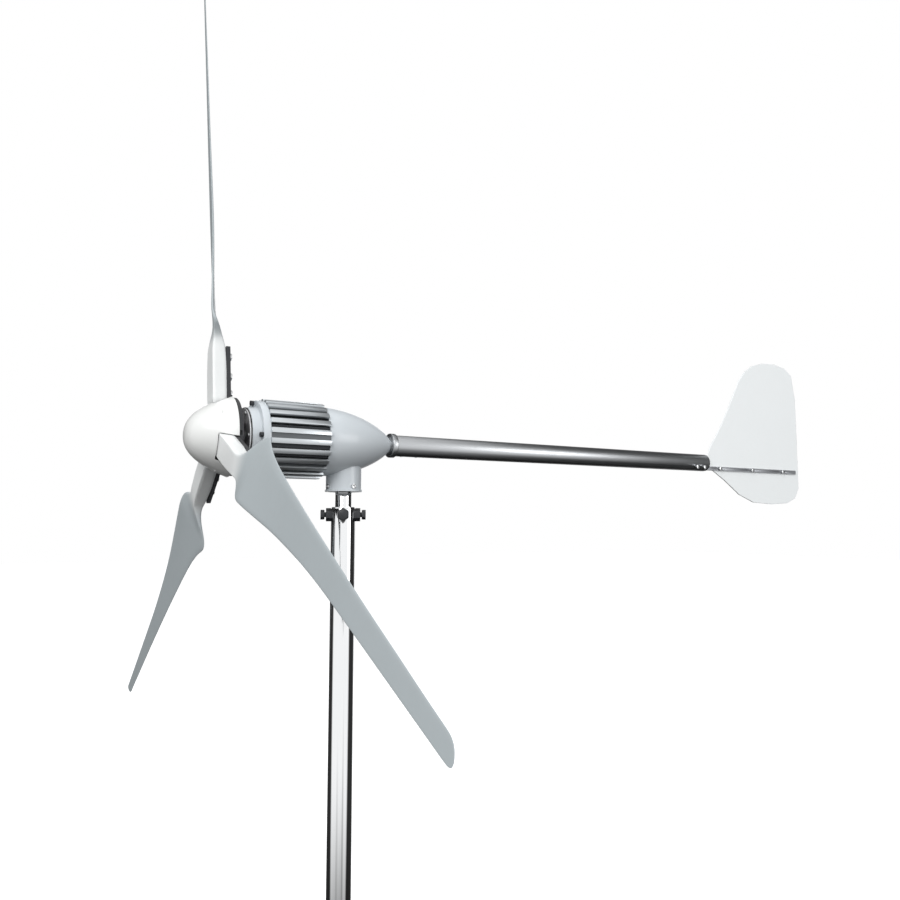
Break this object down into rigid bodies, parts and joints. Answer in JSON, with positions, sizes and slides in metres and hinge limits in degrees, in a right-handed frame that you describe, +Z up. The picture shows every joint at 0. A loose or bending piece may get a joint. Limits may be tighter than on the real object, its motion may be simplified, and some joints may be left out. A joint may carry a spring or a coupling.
{
  "type": "small wind turbine",
  "caption": "Small upwind turbine with twisted blades on an armed hub, finned generator, bullet rear cover, tail boom with fin, and a yaw spindle in a round mast.",
  "frame": {"origin": "centre of the mast tube's lower end", "axes": "+Z up the mast, which is the yaw axis; the shaft axis runs along X at 1.1 m, rotor to -X, tail to +X"},
  "size_m": [1.749, 1.6668, 2.0616],
  "materials": {
    "polished_steel": "polished stainless steel tube",
    "black_steel": "black powder coat, satin",
    "bearing_steel": "ground bearing steel",
    "plain_steel": "turned steel",
    "zinc_steel": "zinc plated",
    "boom_steel": "brushed steel tube",
    "bar_steel": "flat bar, dull grey",
    "white_casting": "light grey powder coat on a casting, satin",
    "finned_aluminium": "extruded and anodised",
    "machined_aluminium": "machined",
    "laminations": "varnished laminations",
    "copper": "enamelled copper and brass",
    "magnet_nickel": "nickel plated magnets",
    "rubber": "black rubber",
    "insulator": "moulded insulation",
    "carbon": "carbon brush",
    "lead_insulation": "silicone insulation",
    "black_plastic": "moulded plug",
    "fin_sheet": "white moulded sheet, gloss",
    "spinner_white": "white moulding, gloss",
    "blade_grey": "fibre filled nylon, satin grey"
  },
  "bodies": {
    "mast": {"mast_tube": "polished_steel", "mast_weld_nuts": "black_steel", "mast_bolts": "black_steel", "yaw_spindle": "polished_steel", "yaw_bearing_inner_races": "bearing_steel", "yaw_nut": "bearing_steel", "slip_ring_drum": "insulator", "slip_rings": "copper"},
    "nacelle": {"rear_cover": "white_casting", "yaw_cartridge": "plain_steel", "yaw_bearing_outer_races": "bearing_steel", "yaw_bearing_balls": "bearing_steel", "yaw_seal": "rubber", "yaw_screws": "zinc_steel", "finned_housing": "finned_aluminium", "front_cover": "white_casting", "front_cover_screws": "black_steel", "cap_gasket": "rubber", "bearing_cap": "machined_aluminium", "cap_screws": "zinc_steel", "shaft_seal": "rubber", "rear_plate": "machined_aluminium", "rear_cover_screws": "zinc_steel", "stator_core": "laminations", "stator_windings": "copper", "shaft_bearing_outer_races": "bearing_steel", "shaft_bearing_balls": "bearing_steel", "brush_holder": "insulator", "brushes": "carbon", "brush_springs": "bearing_steel", "phase_leads": "lead_insulation", "boom_spigot": "plain_steel", "spigot_nut": "zinc_steel", "tail_boom": "boom_steel", "boom_collar": "boom_steel", "boom_screws": "zinc_steel", "boom_end_plug": "black_plastic", "fin_bar_left": "bar_steel", "fin_bar_right": "bar_steel", "tail_fin": "fin_sheet", "fin_bolts": "zinc_steel", "fin_nuts": "zinc_steel"},
    "rotor": {"main_shaft": "plain_steel", "shaft_bearing_inner_races": "bearing_steel", "magnet_rotor": "laminations", "magnets": "magnet_nickel", "hub_plate": "black_steel", "hub_washer": "zinc_steel", "hub_nut": "zinc_steel", "spinner": "spinner_white", "spinner_screws": "black_steel", "blade_1": "blade_grey", "blade_2": "blade_grey", "blade_3": "blade_grey", "blade_inserts": "copper", "blade_bolts": "zinc_steel", "blade_washers": "zinc_steel"}
  },
  "joints": [
    {"name": "yaw", "type": "hinge", "parent": "mast", "child": "nacelle", "pos_m": [0, 0, 1.1], "axis": [0, 0, 1], "continuous": true},
    {"name": "rotor_spin", "type": "hinge", "parent": "nacelle", "child": "rotor", "pos_m": [-0.2, 0, 1.1], "axis": [1, 0, 0], "continuous": true}
  ]
}
